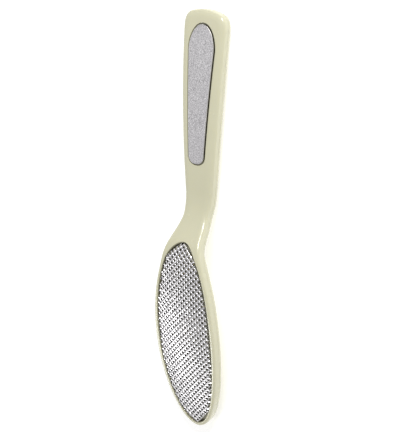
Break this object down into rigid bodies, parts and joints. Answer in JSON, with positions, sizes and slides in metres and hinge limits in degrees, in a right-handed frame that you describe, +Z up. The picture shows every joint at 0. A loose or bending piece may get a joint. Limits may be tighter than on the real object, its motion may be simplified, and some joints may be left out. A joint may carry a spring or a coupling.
{
  "type": "foot file",
  "caption": "Hand-held foot file with a crowned steel rasp in an oval paddle and a fine abrasive strip set into a cranked flat handle.",
  "frame": {"origin": "middle of the bounding box, on the surface that the tool lies on, face up", "axes": "+X from the handle's end towards the paddle's tip, +Y across the paddle, +Z up out of the working face"},
  "size_m": [0.2448, 0.0424, 0.0271],
  "materials": {
    "body_plastic": "smooth moulded plastic, warm cream, glossy",
    "rasp_steel": "punched and raised stainless steel teeth, bright on their tips",
    "retainer_plastic": "plain moulded plastic, unseen",
    "tape": "double-sided foam tape, unseen",
    "backing_steel": "thin stainless steel, bright cut edge",
    "abrasive": "fine mineral grit, speckled neutral grey with a faint sparkle"
  },
  "bodies": {
    "root": {"front_shell": "body_plastic", "rear_cover": "body_plastic", "rasp_plate": "rasp_steel", "rasp_retainer": "retainer_plastic", "strip_tape": "tape", "strip_backing": "backing_steel", "abrasive_strip": "abrasive"}
  },
  "joints": []
}
